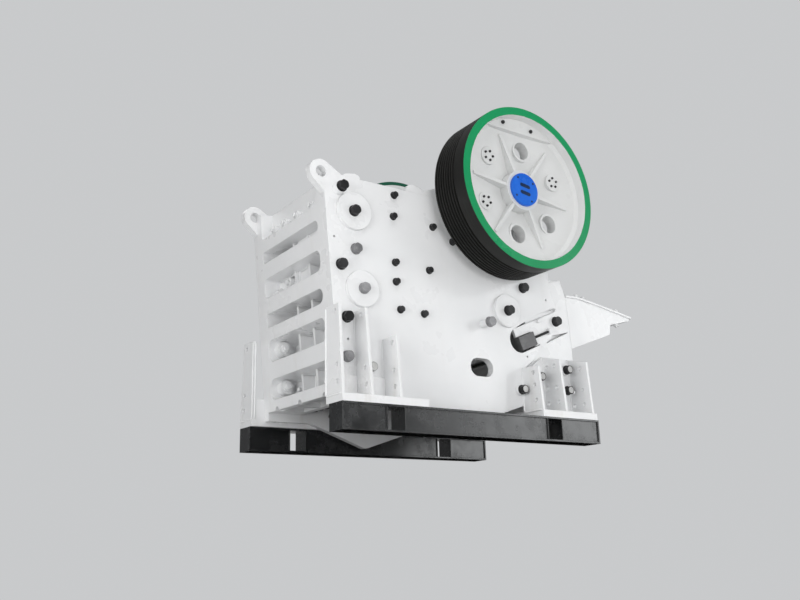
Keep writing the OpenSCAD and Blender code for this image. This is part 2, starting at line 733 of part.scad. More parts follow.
// Half-profile of a wheel as [radius, distance from the inner rim face outwards]. The web is
// dished: it lies web_in behind the rim's outer face at the rim and deeper at the hub.
hub_r = 185;
hub_in = 95;
hub_len = 260;
web_t = 42;
web_in = 113;
web_dish = 75;
web_front = wheel_w - web_in;
module wheel_body(grooved) {
  groove_d = 26;
  first_groove = 12;
  rim_in = wheel_r - rim_t;
  join = 15;
  fillet = 30;
  rotate_extrude($fn = 96) difference() {
    union() {
      translate([rim_in, 0]) square([rim_t, wheel_w]);
      translate([journal_r + 0.05, wheel_w - hub_in - hub_len]) square([hub_r - journal_r, hub_len]);
      polygon([
        [hub_r - join, web_front - web_dish - web_t], [rim_in - fillet, web_front - web_t],
        [rim_in, web_front - web_t - fillet], [rim_in + join, web_front - web_t - fillet],
        [rim_in + join, web_front + fillet], [rim_in, web_front + fillet], [rim_in - fillet, web_front],
        [hub_r - join, web_front - web_dish]
      ]);
    }
    if (grooved) for (i = [0:grooves - 1]) translate([wheel_r, first_groove + groove_pitch * i])
      polygon([[1, 0], [1, 24], [-groove_d, 17], [-groove_d, 7]]);
  }
}
// Triangular rib that runs out on the web.
module web_rib() {
  rib_w = 30;
  rib_end = 560;
  translate([hub_r - 15, rib_w / 2, 0]) rotate([90, 0, 0]) linear_extrude(rib_w) polygon([
    [0, web_front - web_dish - 20], [0, wheel_w - hub_in - 8], [25, wheel_w - hub_in - 8],
    [rib_end - hub_r, web_front - 2], [rib_end - hub_r, web_front - 22]
  ]);
}
module wheel(grooved) {
  hole_ring = 410;
  hole_r = 82;
  lip_r = 102;
  lip_h = 14;
  sleeve = 105;
  pad_ring = 440;
  pad_r = 80;
  pad_h = 26;
  web_at_ring = web_front - web_dish * (wheel_r - rim_t - hole_ring) / (wheel_r - rim_t - hub_r);
  bay = 360 / web_ribs;
  difference() {
    union() {
      wheel_body(grooved);
      for (i = [0:web_ribs - 1]) rotate([0, 0, bay * i]) web_rib();
      for (a = hole_bays) rotate([0, 0, bay * (a + 0.5)])
        translate([hole_ring, 0, web_at_ring + lip_h - sleeve]) cylinder(h = sleeve, r = lip_r);
      for (a = pad_bays) rotate([0, 0, bay * (a + 0.5)])
        translate([pad_ring, 0, web_at_ring - 20]) cylinder(h = 20 + pad_h, r = pad_r);
      // Balance weight, cast on the rim's inside at the top.
      balance_weight();
    }
    for (a = hole_bays) rotate([0, 0, bay * (a + 0.5)])
      translate([hole_ring, 0, 0]) cylinder(h = wheel_w, r = hole_r);
  }
}
// Bays of the web that have a hole and that have a pad, counted from the rib nearest the rear.
hole_bays = [1, 4, 5];
pad_bays = [0, 2, 3];
rib_turn = 7;
module balance_weight() {
  weight_in = 540;
  weight_t = 34;
  rotate([0, 0, 97]) translate([0, 0, web_front - 30]) intersection() {
    cylinder(h = 30 + weight_t, r = wheel_r - rim_t + 5);
    translate([weight_in, -wheel_r, 0]) cube([wheel_r, 2 * wheel_r, 30 + weight_t]);
  }
}
module wheel_at_pulley_side(grooved) translate([shaft_x, -plate_y - wheel_gap, shaft_z])
  rotate([90, rib_turn, 0]) wheel(grooved);
module grooved_pulley() color(green) machine() wheel_at_pulley_side(true);
module flywheel() color(green) machine() mirror([0, 1, 0]) wheel_at_pulley_side(false);
module hub_caps() {
  cap_r = 152;
  cap_t = 24;
  color(blue) machine() both_sides()
    rod_y(shaft_x, shaft_z, cap_r, -plate_y - wheel_gap - wheel_w + hub_in - cap_t - fit, cap_t);
}

pulley_side_plate();
flywheel_side_plate();
front_frame();
rear_frame();
fixed_jaw_plate();
swing_jaw();
swing_jaw_plate();
upper_cheek_plates();
lower_cheek_plates();
toggle_plate();
toggle_seats();
adjusting_wedges();
wedge_rods();
tension_rod();
pulley_side_bearing_housing();
flywheel_side_bearing_housing();
motor_base();
pulley_side_front_foot();
flywheel_side_front_foot();
pulley_side_rear_foot();
flywheel_side_rear_foot();
pulley_side_skid();
flywheel_side_skid();
frame_bolts();
frame_nuts();
bolt_spacers();
cheek_bolts();
foot_bolts();
painted_wall_nuts();
black_wall_nuts();
eccentric_shaft();
grooved_pulley();
flywheel();
hub_caps();
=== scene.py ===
# Jaw crusher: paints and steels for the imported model, and the small pieces that the solids
# leave out, with the camera, floor and lamps of its picture.
import math

import bmesh
import bpy
import numpy as np
from mathutils import Matrix, Vector


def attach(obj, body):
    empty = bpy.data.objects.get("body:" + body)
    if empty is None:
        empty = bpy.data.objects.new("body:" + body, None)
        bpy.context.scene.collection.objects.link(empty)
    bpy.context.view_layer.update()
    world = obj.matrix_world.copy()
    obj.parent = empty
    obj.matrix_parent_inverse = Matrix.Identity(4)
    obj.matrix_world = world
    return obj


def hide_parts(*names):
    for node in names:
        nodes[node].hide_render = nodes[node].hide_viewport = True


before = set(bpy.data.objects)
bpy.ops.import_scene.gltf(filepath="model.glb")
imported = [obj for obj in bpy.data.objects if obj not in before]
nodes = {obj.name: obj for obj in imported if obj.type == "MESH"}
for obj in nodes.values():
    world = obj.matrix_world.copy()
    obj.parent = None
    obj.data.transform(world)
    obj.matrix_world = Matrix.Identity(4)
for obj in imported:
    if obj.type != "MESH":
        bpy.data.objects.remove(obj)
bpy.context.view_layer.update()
scene = bpy.context.scene
scene.view_settings.view_transform = "Standard"
print("frame loaded:", len(nodes), "nodes")

# Camera: the place and directions that the photograph's edges give, in the frame's metres.
view = {
    "place": (-4.9889, -6.3747, -0.8124),
    "ahead": (0.54977, 0.79120, 0.26787),
    "down": (0.13073, 0.23523, -0.96311),
    "lens": 39.437,
    "sensor": 36.0,
}


def makeCamera(view):
    # The camera looks along its own -Z, so its axes are right, up and back.
    data = bpy.data.cameras.new("camera")
    data.lens, data.sensor_width, data.sensor_fit = view["lens"], view["sensor"], "HORIZONTAL"
    data.clip_start, data.clip_end = 0.1, 200.0
    back, up = -Vector(view["ahead"]).normalized(), -Vector(view["down"]).normalized()
    facing = Matrix((up.cross(back), up, back)).transposed().to_4x4()
    camera = bpy.data.objects.new("camera", data)
    camera.matrix_world = Matrix.Translation(view["place"]) @ facing
    scene.collection.objects.link(camera)
    scene.camera = camera


makeCamera(view)
print("camera placed")


class Wire:
    # One socket of a material, which takes part in plain arithmetic.
    def __init__(self, paint, socket):
        self.paint, self.socket = paint, socket

    def math(self, operation, *others):
        # A Math node on this socket and the others, in that order.
        sockets = dict(enumerate((self, *others)))
        return self.paint.node("ShaderNodeMath", {"operation": operation}, sockets)

    def __add__(self, other):
        return self.math("ADD", other)

    def __sub__(self, other):
        return self.math("SUBTRACT", other)

    def __rsub__(self, other):
        return self.paint.node("ShaderNodeMath", {"operation": "SUBTRACT"}, {0: other, 1: self})

    def __mul__(self, other):
        return self.math("MULTIPLY", other)

    def __pow__(self, other):
        return self.math("POWER", other)

    def __gt__(self, other):
        return self.math("GREATER_THAN", other)

    def __lt__(self, other):
        return self.math("LESS_THAN", other)

    def __abs__(self):
        return self.math("ABSOLUTE")

    def ramp(self, low, high, start=0.0, end=1.0):
        # Smooth step from one value to another between low and high.
        return self.paint.node("ShaderNodeMapRange", {"interpolation_type": "SMOOTHSTEP"}, {
            "Value": self, "From Min": low, "From Max": high, "To Min": start, "To Max": end})


class Paint:
    # A material under construction: nodes by type, and one shader at its end.
    def __init__(self, name):
        self.material = bpy.data.materials.new(name)
        self.material.use_nodes = True
        self.tree = self.material.node_tree
        self.tree.nodes.clear()
        self.place = self.node("ShaderNodeTexCoord", {}, {}, "Object")

    def node(self, kind, settings, sockets, output=0):
        # A node with its settings, its inputs as sockets or constants, and one of its outputs.
        made = self.tree.nodes.new(kind)
        for name, value in settings.items():
            setattr(made, name, value)
        for name, value in sockets.items():
            if isinstance(value, Wire):
                self.tree.links.new(value.socket, made.inputs[name])
            else:
                made.inputs[name].default_value = value
        return Wire(self, made.outputs[output])

    def noise(self, scale, detail=3.0, roughness=0.5, place=None):
        return self.node("ShaderNodeTexNoise", {}, {
            "Vector": place or self.place, "Scale": scale,
            "Detail": detail, "Roughness": roughness})

    def axes(self):
        # The place's x, y and z.
        parts = self.node("ShaderNodeSeparateXYZ", {}, {"Vector": self.place})
        return [Wire(self, socket) for socket in parts.socket.node.outputs]

    def stretched(self, scale):
        # The place with each axis scaled, for grain that runs one way.
        return self.node("ShaderNodeVectorMath", {"operation": "MULTIPLY"},
                         {0: self.place, 1: scale})

    def mix(self, factor, first, second):
        # Two colours through a Mix node: 0 gives the first.
        sockets = {6: first, 7: second}
        sockets = {k: (*v, 1.0) if isinstance(v, tuple) else v for k, v in sockets.items()}
        return self.node("ShaderNodeMix", {"data_type": "RGBA"}, {0: factor, **sockets}, 2)

    def bump(self, height, distance, normal):
        # Relief of a height between 0 and 1 times the distance, on top of another normal.
        return self.node("ShaderNodeBump", {}, {
            "Height": height, "Distance": distance, "Strength": 1.0, "Normal": normal})

    def finish(self, colour, **sockets):
        # Ends the material in one shader. The keywords are its sockets, with _ for a space.
        inputs = {"Base Color": (*colour, 1.0) if isinstance(colour, tuple) else colour}
        inputs.update({name.replace("_", " "): value for name, value in sockets.items()})
        shader = self.node("ShaderNodeBsdfPrincipled", {}, inputs)
        end = self.tree.nodes.new("ShaderNodeOutputMaterial")
        self.tree.links.new(shader.socket, end.inputs["Surface"])
        return self.material


# White enamel. Castings show their sand skin through it, plates are nearly flat.
enamel = {
    "colour": (0.83, 0.835, 0.84),
    "shaded": (0.74, 0.75, 0.76),
    "dust": (0.60, 0.575, 0.53),
    "roughness": 0.30,
    "edge": 0.006,
}


def enamelPaint(name, skin, lump, dust, edge):
    # skin and lump are the heights of the fine and the broad relief in metres, dust is the share
    # of the dust colour in the streaks, and edge is the radius that sharp edges are rounded to.
    paint = Paint(name)
    z = paint.axes()[2]
    cloud = paint.noise(1.7, 4.0, 0.6)
    streak = paint.noise(1.0, 4.0, 0.55, paint.stretched((7.0, 7.0, 0.8)))
    colour = paint.mix(cloud.ramp(0.42, 0.75) * 0.35, enamel["colour"], enamel["shaded"])
    low = z.ramp(0.9, 0.15)  # 1 near the ground, 0 above 0.9 m
    dusty = streak.ramp(0.52, 0.80) * (low * 0.5 + 0.12) * dust
    colour = paint.mix(dusty, colour, enamel["dust"])
    grain = paint.noise(95.0, 3.0, 0.6)
    wave = paint.noise(9.0, 2.0, 0.5)
    rounded = paint.node("ShaderNodeBevel", {"samples": 4}, {"Radius": edge})
    relief = paint.bump(wave, lump, rounded)
    relief = paint.bump(grain, skin, relief)
    rough = cloud.ramp(0.3, 0.8, enamel["roughness"] - 0.05, enamel["roughness"] + 0.12)
    return paint.finish(colour, Roughness=rough, Normal=relief, IOR=1.5,
                        Coat_Weight=0.35, Coat_Roughness=0.12)


plateEnamel = enamelPaint("plateEnamel", 0.0001, 0.0012, 0.7, 0.005)
castEnamel = enamelPaint("castEnamel", 0.0006, 0.0030, 1.0, 0.010)

# Wheels: green rim face, black grooved tread on the near wheel, and on the far one a green tread
# darkened as painted shade, white web. The last four are the radii and the distances from the
# middle where the colours part.
wheelPaint = {
    "green": (0.012, 0.285, 0.105),
    "greenClouds": (0.010, 0.235, 0.085),
    "greenInPaintedShade": (0.012, 0.095, 0.055),
    "web": (0.70, 0.705, 0.70),
    "webShaded": (0.62, 0.63, 0.63),
    "black": (0.013, 0.013, 0.012),
    "rubbed": (0.030, 0.029, 0.028),
    "rimInner": 0.672,
    "tread": 0.708,
    "face": 1.1700,
    "faceDepth": 0.004,
}
shaft = {"x": 0.0505, "z": 2.174}
sides = (-1.0, 1.0)  # the near side with the pulley, and the far side with the flywheel


def paintedWheel():
    # Radius is the distance from the shaft's axis. Tread and face are 0 or 1 by radius and y.
    paint = Paint("wheelPaint")
    x, y, z = paint.axes()
    radius = ((x - shaft["x"]) ** 2.0 + (z - shaft["z"]) ** 2.0) ** 0.5
    out = abs(y)
    cloud = paint.noise(2.1, 4.0, 0.6)
    web = paint.mix(cloud.ramp(0.40, 0.75) * 0.35, wheelPaint["web"], wheelPaint["webShaded"])
    wobble = (paint.noise(14.0, 2.0) - 0.5) * 0.006  # the brushed edge of the green
    tread = (radius > wheelPaint["tread"]) * (out < wheelPaint["face"])
    onFace = out > wheelPaint["face"] - wheelPaint["faceDepth"]
    face = onFace * (radius + wobble > wheelPaint["rimInner"])
    rubbed = paint.noise(1.0, 3.0, 0.6, paint.stretched((3.0, 160.0, 3.0)))
    black = paint.mix(rubbed.ramp(0.45, 0.8) * 0.5, wheelPaint["black"], wheelPaint["rubbed"])
    # The far wheel's tread takes the green darkened as painted shade.
    black = paint.mix(y > 0.0, black, wheelPaint["greenInPaintedShade"])
    green = paint.mix(cloud.ramp(0.35, 0.8) * 0.4, wheelPaint["green"], wheelPaint["greenClouds"])
    colour = paint.mix(tread, paint.mix(face, web, green), black)
    grain = paint.noise(95.0, 3.0, 0.6)
    wave = paint.noise(9.0, 2.0, 0.5)
    rounded = paint.node("ShaderNodeBevel", {"samples": 4}, {"Radius": enamel["edge"]})
    relief = paint.bump(wave * (1.0 - tread) * (1.0 - face), 0.003, rounded)
    relief = paint.bump(grain * (1.0 - tread * 0.7), 0.0005, relief)
    rough = cloud.ramp(0.3, 0.8, 0.26, 0.40) + tread * 0.12
    return paint.finish(colour, Roughness=rough, Normal=relief, IOR=1.5, Specular_IOR_Level=0.18)


wheelFinish = paintedWheel()


def plainPaint(name, colour, second, roughness, skin, edge=0.004, metallic=0.0, gloss=0.5):
    # A paint or a steel with clouds of a second colour and a fine skin.
    paint = Paint(name)
    cloud = paint.noise(6.0, 5.0, 0.65)
    grain = paint.noise(140.0, 3.0, 0.6)
    rounded = paint.node("ShaderNodeBevel", {"samples": 4}, {"Radius": edge})
    relief = paint.bump(grain, skin, rounded)
    rough = cloud.ramp(0.3, 0.75, roughness - 0.06, roughness + 0.14)
    shade = paint.mix(cloud.ramp(0.38, 0.72), colour, second)
    return paint.finish(shade, Roughness=rough, Normal=relief, Metallic=metallic, IOR=1.5,
                        Specular_IOR_Level=gloss)


# Each with its colour, second colour, roughness, height of the skin and, where they aren't the
# usual ones, radius of the edges and share of metal.
skidPaint = plainPaint("skidPaint", (0.006, 0.0066, 0.0072), (0.012, 0.013, 0.014),
                       0.22, 0.0006, gloss=0.85)
boltBlack = plainPaint("boltBlack", (0.010, 0.010, 0.011), (0.030, 0.030, 0.032),
                       0.40, 0.0003, 0.003, 0.3)
nutSteel = plainPaint("nutSteel", (0.24, 0.24, 0.245), (0.38, 0.38, 0.39),
                      0.38, 0.0003, 0.003, 0.7)
# Bright steel for the foot studs' ends, and for the painted reflection rings on the foot nuts.
brightSteelAndHighlight = plainPaint("brightSteelAndHighlight", (0.62, 0.62, 0.61), (0.74, 0.74, 0.73),
                         0.36, 0.0003, 0.002, 0.4)
footNutSteel = plainPaint("footNutSteel", (0.44, 0.44, 0.44), (0.56, 0.56, 0.555),
                          0.40, 0.0003, 0.002, 0.5)
wedgeSteel = plainPaint("wedgeSteel", (0.11, 0.11, 0.112), (0.19, 0.19, 0.192),
                        0.42, 0.0006, 0.005, 0.4)
shaftSteel = plainPaint("shaftSteel", (0.42, 0.43, 0.44), (0.55, 0.55, 0.56),
                        0.26, 0.0001, 0.003, 0.9)
jawSteel = plainPaint("jawSteel", (0.075, 0.075, 0.078), (0.14, 0.13, 0.125),
                      0.55, 0.0012, 0.006, 0.45)
capDark = plainPaint("capDark", (0.006, 0.020, 0.060), (0.010, 0.030, 0.085),
                     0.35, 0.0003, gloss=0.2)
capBlue = plainPaint("capBlue", (0.012, 0.115, 0.60), (0.016, 0.15, 0.66),
                     0.28, 0.0003, gloss=0.2)
print("finishes mixed")

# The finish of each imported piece.
finishes = {
    "pulley_side_plate": plateEnamel, "flywheel_side_plate": plateEnamel,
    "front_frame": castEnamel, "rear_frame": castEnamel, "swing_jaw": castEnamel,
    "fixed_jaw_plate": jawSteel, "swing_jaw_plate": jawSteel,
    "upper_cheek_plates": jawSteel, "lower_cheek_plates": jawSteel,
    "toggle_plate": castEnamel, "toggle_seats": shaftSteel, "adjusting_wedges": wedgeSteel,
    "wedge_rods": boltBlack, "tension_rod": nutSteel,
    "pulley_side_bearing_housing": castEnamel, "flywheel_side_bearing_housing": castEnamel,
    "motor_base": plateEnamel, "bolt_spacers": plateEnamel,
    "pulley_side_front_foot": plateEnamel, "flywheel_side_front_foot": plateEnamel,
    "pulley_side_rear_foot": plateEnamel, "flywheel_side_rear_foot": plateEnamel,
    "pulley_side_skid": skidPaint, "flywheel_side_skid": skidPaint,
    "frame_bolts": boltBlack, "frame_nuts": nutSteel,
    "cheek_bolts": boltBlack, "foot_bolts": nutSteel,
    "painted_wall_nuts": castEnamel, "black_wall_nuts": boltBlack,
    "eccentric_shaft": shaftSteel, "grooved_pulley": wheelFinish, "flywheel": wheelFinish,
    "hub_caps": capBlue,
}
for name, node in nodes.items():
    node.data.materials.clear()
    node.data.materials.append(finishes[name])
print("finishes given")

# Meshes. A patch is a grid of points (rows, columns, 3) that is closed round its columns.
def patchFaces(rows, columns):
    # Quads between neighbouring rows and columns, as four index arrays side by side.
    r, c = np.meshgrid(np.arange(rows - 1), np.arange(columns), indexing="ij")
    d = (c + 1) % columns
    here, above = r * columns, (r + 1) * columns
    return np.stack((here + c, here + d, above + d, above + c), -1).reshape(-1, 4)


def makePiece(name, patches, finish, body, sharp=32.0):
    # One object from several patches, smooth but for edges sharper than the angle in degrees.
    # Points that coincide are merged, which closes seams and poles.
    points, faces, first = [], [], 0
    for grid in patches:
        rows, columns = grid.shape[:2]
        points.append(grid.reshape(-1, 3))
        faces.append(patchFaces(rows, columns) + first)
        first += rows * columns
    points, faces = np.concatenate(points), np.concatenate(faces)
    mesh = bpy.data.meshes.new(name)
    mesh.vertices.add(len(points))
    mesh.vertices.foreach_set("co", points.astype(np.float32).ravel())
    mesh.loops.add(faces.size)
    mesh.loops.foreach_set("vertex_index", faces.astype(np.int32).ravel())
    mesh.polygons.add(len(faces))
    mesh.polygons.foreach_set("loop_start", np.arange(0, faces.size, 4, dtype=np.int32))
    mesh.update(calc_edges=True)
    work = bmesh.new()
    work.from_mesh(mesh)
    bmesh.ops.remove_doubles(work, verts=work.verts, dist=0.00002)
    bmesh.ops.recalc_face_normals(work, faces=work.faces)
    work.to_mesh(mesh)
    work.free()
    mesh.polygons.foreach_set("use_smooth", np.ones(len(mesh.polygons), bool))
    mesh.set_sharp_from_angle(angle=math.radians(sharp))
    mesh.materials.append(finish)
    made = bpy.data.objects.new(name, mesh)
    scene.collection.objects.link(made)
    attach(made, body)
    return made


def turned(profile, place, axis, around=24, radiusAt=None):
    # A profile of (radius, height) carried round an axis: point = place + r cos(a) u + r sin(a) v
    # + h axis, with u and v square to the axis. radiusAt gives the largest radius at each angle.
    axis = np.array(axis, float) / np.linalg.norm(axis)
    side = np.cross(axis, (0.0, 0.0, 1.0) if abs(axis[2]) < 0.9 else (1.0, 0.0, 0.0))
    side /= np.linalg.norm(side)
    other = np.cross(axis, side)
    a = np.linspace(0.0, 2.0 * np.pi, around, endpoint=False)
    profile = np.array(profile, float)
    radius = np.repeat(profile[:, :1], around, 1)
    if radiusAt is not None:
        radius = np.minimum(radius, radiusAt(a)[None, :])
    ring = np.cos(a)[None, :, None] * side + np.sin(a)[None, :, None] * other
    return np.array(place) + radius[..., None] * ring + profile[:, 1, None, None] * axis


def hexNut(place, axis, flats, height, bevel=0.12, turn=0.0):
    # A hexagon whose corners are cut by a cone: the radius is the lesser of hexagon and cone.
    # The cone starts at the flats' top and ends at the height. bevel is its share of the height.
    corner = flats / math.sqrt(3.0)
    drop = bevel * height

    def hexagon(a):
        return flats / 2.0 / np.cos((a + turn) % (np.pi / 3.0) - np.pi / 6.0)

    profile = [(0.0, 0.0), (corner, 0.0), (corner, height - drop * 1.6),
               (corner * 0.965, height - drop), (corner * 0.90, height), (corner * 0.60, height),
               (0.0, height - 0.0006)]
    return turned(profile, place, axis, 48, hexagon)


def disc(place, axis, radius, height, edge=0.0015, around=40):
    # A round washer or boss with a chamfered edge.
    profile = [(0.0, 0.0), (radius, 0.0), (radius, height - edge), (radius - edge, height),
               (0.0, height)]
    return turned(profile, place, axis, around)


def threaded(place, axis, radius, length, pitch=0.004):
    # A stud: the radius swings between crest and root once a pitch, and the end is chamfered.
    count = max(4, int(length / pitch) * 2)
    along = np.linspace(0.0, length - pitch, count)
    swing = np.where(np.arange(count) % 2 == 0, radius, radius * 0.92)
    profile = np.column_stack((swing, along))
    profile = np.vstack(([0.0, 0.0], profile, [radius * 0.8, length], [0.0, length]))
    return turned(profile, place, axis)


def moved(place, axis, distance):
    # The place plus the distance times the axis.
    return tuple(np.array(place) + np.array(axis) * distance)


# Bolts as the source places them: x and z in metres from the foot of the front face, and how far
# the seat stands proud of the side plate. The first foot bolt is the front foot's.
footX = -1.5865
plate = {"face": 0.650, "fit": 0.0003}
bolts = {
    "frame": [(-0.013, 1.988, 0.064), (0.121, 1.811, 0.030), (0.012, 1.346, 0.0),
              (0.061, 0.919, 0.0), (1.950, 1.425, 0.0), (1.731, 1.176, 0.030),
              (2.385, 1.168, -0.045)],
    "grey": [(0.150, 1.497, 0.0), (0.204, 1.165, 0.030), (0.061, 0.601, 0.0),
             (1.446, 1.022, 0.100)],
    "cheek": [(0.539, 2.045, 0.0), (0.525, 1.850, 0.0), (0.937, 1.830, 0.0), (0.535, 1.444, 0.0),
              (0.885, 1.429, 0.0), (0.539, 1.277, 0.0), (0.576, 1.043, 0.0), (0.816, 1.036, 0.0),
              (1.150, 1.732, 0.0)],
    "foot": [(0.277, 0.534, 0.0003), (1.830, 0.466, 0.038), (2.075, 0.603, 0.0103),
             (2.424, 0.698, 0.0103), (2.417, 0.505, 0.0103)],
}
# Sizes: across the flats, height of the head, radius and thickness of the washer. Nuts on studs
# also have the stud's radius and its length beyond the nut.
boltSizes = {
    "frame": {"flats": 0.078, "height": 0.042, "washer": 0.048, "thick": 0.008},
    "grey": {"flats": 0.078, "height": 0.038, "washer": 0.047, "thick": 0.009,
             "stud": 0.022, "beyond": 0.004},
    "cheek": {"flats": 0.050, "height": 0.030, "washer": 0.033, "thick": 0.006},
    "foot": {"flats": 0.070, "height": 0.044, "washer": 0.043, "thick": 0.008},
}


def boltPatches(places, flats, height, washer, thick, stud=0.0, beyond=0.0):
    # Washer, chamfered head and stud on both side plates. The heads are turned by 0.9 rad in turn.
    patches = []
    for side in sides:
        for i, (x, z, proud) in enumerate(places):
            axis = (0.0, side, 0.0)
            seat = (x + footX, side * (plate["face"] + proud + plate["fit"]), z)
            top = moved(seat, axis, thick)
            patches += [disc(seat, axis, washer, thick),
                        hexNut(top, axis, flats, height, turn=0.35 + 0.9 * i)]
            if stud:
                patches.append(threaded(top, axis, stud, height + beyond))
    return patches


frameBolts = makePiece("frameBoltHeads", boltPatches(bolts["frame"], **boltSizes["frame"]),
                       boltBlack, "frame")
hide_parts("frame_bolts")
frameNuts = makePiece("frameNutsOnStuds", boltPatches(bolts["grey"], **boltSizes["grey"]),
                      nutSteel, "frame")
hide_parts("frame_nuts")
cheekBolts = makePiece("cheekBoltHeads", boltPatches(bolts["cheek"], **boltSizes["cheek"]),
                       boltBlack, "frame")
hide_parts("cheek_bolts")
# The rear foot nuts are shiny steel made black as painted shade.
rearFootNutsInPaintedShade = makePiece("rearFootNutsInPaintedShade", boltPatches(bolts["foot"][1:], **boltSizes["foot"]),
                         boltBlack, "frame")
frontFootNuts = makePiece("frontFootNuts", boltPatches(bolts["foot"][:1], **boltSizes["foot"]),
                          footNutSteel, "frame")
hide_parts("foot_bolts")
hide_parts("foot_bolts")

# A stud end on each foot nut, and a bright ring let into its top as a painted reflection on the
# nut's face.
footStudAndHighlight = {"sink": 0.0015, "ring": 0.030, "highlightRingHeight": 0.0025, "radius": 0.021, "length": 0.007}
footStudsAndHighlights = []
for side in sides:
    for x, z, proud in bolts["foot"]:
        axis, size = (0.0, side, 0.0), boltSizes["foot"]
        top = plate["face"] + proud + plate["fit"] + size["thick"] + size["height"]
        seat = (x + footX, side * (top - footStudAndHighlight["sink"]), z)
        footStudsAndHighlights += [disc(seat, axis, footStudAndHighlight["ring"], footStudAndHighlight["highlightRingHeight"], 0.001, 32),
                      threaded(seat, axis, footStudAndHighlight["radius"], footStudAndHighlight["length"], 0.003)]
makePiece("footStudEndsAndHighlights", footStudsAndHighlights, brightSteelAndHighlight, "frame")

# Nuts in the front casting, on studs that point forwards: x, y, z, across the flats, height and
# the stud's length beyond. The stud's radius is a share of the flats. The four on the shelf share
# their x, z and size.
towardFront = (-1.0, 0.0, 0.0)
wallNuts = {
    "shelf": {"y": (-0.305, -0.048, 0.174, 0.379), "x": -0.0323, "z": 1.946,
              "size": (0.072, 0.046, 0.028)},
    "white": [(0.0797, 0.265, 1.432, 0.084, 0.060, 0.026),
              (0.2397, -0.232, 1.410, 0.084, 0.060, 0.026),
              (0.2097, -0.232, 0.480, 0.070, 0.070, 0.040),
              (0.2097, 0.232, 0.480, 0.070, 0.070, 0.040)],
    "black": [(0.2097, -0.195, 1.118, 0.075, 0.080, 0.050),
              (0.2097, 0.020, 1.118, 0.075, 0.080, 0.050),
              (0.2097, 0.285, 1.118, 0.075, 0.080, 0.050)],
    "studShare": 0.3,
    "pitch": 0.006,
}
# Round nuts of two steps at the sides of the pockets: x, z, radius of the lower step.
sideEnds = {"places": [(0.040, 1.372, 0.023), (0.070, 0.870, 0.040), (0.095, 0.530, 0.040)],
            "face": 0.4167, "low": 0.024, "high": 0.040, "step": 0.014, "edge": 0.003}


def wallNutPatches(places):
    # A nut and its stud for each place. The nuts are turned by 0.7 rad in turn.
    patches = []
    for i, (x, y, z, flats, height, beyond) in enumerate(places):
        seat = (x + footX, y, z)
        patches += [hexNut(seat, towardFront, flats, height, turn=0.4 + 0.7 * i),
                    threaded(seat, towardFront, flats * wallNuts["studShare"], height + beyond,
                             wallNuts["pitch"])]
    return patches


shelf = wallNuts["shelf"]
shelfNuts = [(shelf["x"], y, shelf["z"], *shelf["size"]) for y in shelf["y"]]
whiteNuts = wallNutPatches(shelfNuts + wallNuts["white"])
for side in sides:
    for x, z, radius in sideEnds["places"]:
        axis, seat = (0.0, -side, 0.0), (x + footX, side * sideEnds["face"], z)
        inner = radius - sideEnds["step"]
        whiteNuts += [disc(seat, axis, radius, sideEnds["low"], sideEnds["edge"]),
                      disc(seat, axis, inner, sideEnds["high"], sideEnds["edge"], 32)]
wallNutPiece = makePiece("frontWallNuts", whiteNuts, castEnamel, "frame")
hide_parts("painted_wall_nuts")
blackNutPiece = makePiece("frontWallBlackNuts", wallNutPatches(wallNuts["black"]),
                          boltBlack, "frame")
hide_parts("black_wall_nuts")

# Small nuts of the motor base: x, distance from the middle, z, up or down. They lean as it does.
baseNuts = {"places": [(2.705, 0.585, 1.4511, 1.0), (2.800, 0.585, 1.4389, 1.0),
                       (3.260, 0.585, 1.3704, 1.0), (3.280, 0.560, 1.2630, -1.0)],
            "lean": 0.13, "sink": 0.003, "washer": 0.030, "thick": 0.008,
            "flats": 0.046, "height": 0.020, "stud": 0.014, "studLength": 0.040}
baseHeads = []
for side in sides:
    for x, y, z, up in baseNuts["places"]:
        axis = (baseNuts["lean"] * up, 0.0, up)
        seat = (x + footX, side * y, z - baseNuts["sink"] * up)
        top = moved(seat, axis, baseNuts["thick"])
        baseHeads += [disc(seat, axis, baseNuts["washer"], baseNuts["thick"], 0.001, 32),
                      hexNut(top, axis, baseNuts["flats"], baseNuts["height"]),
                      threaded(seat, axis, baseNuts["stud"], baseNuts["studLength"])]
makePiece("motorBaseNuts", baseHeads, plateEnamel, "frame")
print("bolts set")

# Small bolts of the wheels' pads and balance weights, the bearing covers and the caps. A face is a
# distance from the middle, and angles are in degrees from the rear, upwards.
wheelBolts = {"pads": (23.0, 143.0, 203.0), "count": 5, "ring": 0.440, "circle": 0.044,
              "face": 1.0458, "flats": 0.020, "height": 0.010}
weightBolts = {"places": ((-0.21, 0.600), (0.12, 0.590)), "face": 1.094,
               "flats": 0.030, "height": 0.017}
coverBolts = {"count": 12, "ring": 0.185, "face": 0.760, "flats": 0.026, "height": 0.012}
capScrews = {"count": 4, "ring": 0.124, "face": 1.1023, "radius": 0.009, "height": 0.004}
sink = 0.001  # how deep small heads are let into their faces


def atShaft(dx, dz, out, side):
    # A place beside the shaft's axis: across it by dx and dz, and out from the middle.
    return (shaft["x"] + dx, side * out, shaft["z"] + dz)


def ringPlaces(bolts, first, side):
    # Places evenly spaced on a ring round the shaft, starting at a share of the spacing.
    turns = [2.0 * np.pi * (k + first) / bolts["count"] for k in range(bolts["count"])]
    return [atShaft(bolts["ring"] * math.cos(turn), bolts["ring"] * math.sin(turn),
                    bolts["face"] - sink, side) for turn in turns]


